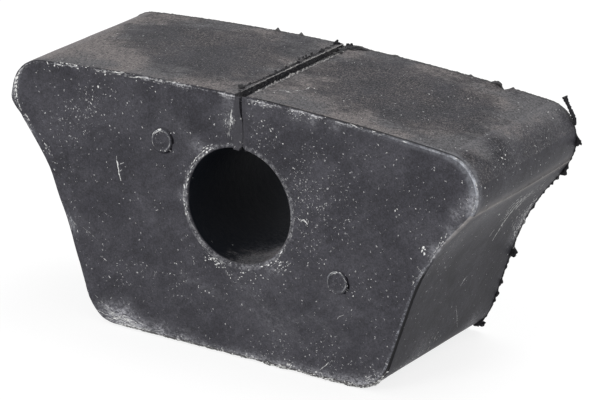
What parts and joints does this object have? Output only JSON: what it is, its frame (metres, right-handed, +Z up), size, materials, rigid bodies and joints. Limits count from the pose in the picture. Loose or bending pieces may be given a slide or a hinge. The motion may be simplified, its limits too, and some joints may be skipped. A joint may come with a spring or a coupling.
{
  "type": "sway bar bushing",
  "caption": "Split moulded rubber bushing with a crowned top, rounded ears, flat base and a round through bore that grips a stabiliser bar.",
  "frame": {"origin": "middle of the flat base that rests on the chassis pad, halfway along the bore and halfway across the ears", "axes": "+X across the ears, +Y along the bore from the front end with the torn web to the rear end with the mould flash, +Z up from the base to the crown"},
  "size_m": [0.1164, 0.0436, 0.0585],
  "materials": {
    "black_rubber": "matt moulded black rubber, dusty and scuffed"
  },
  "bodies": {
    "root": {"bushing": "black_rubber"}
  },
  "joints": []
}
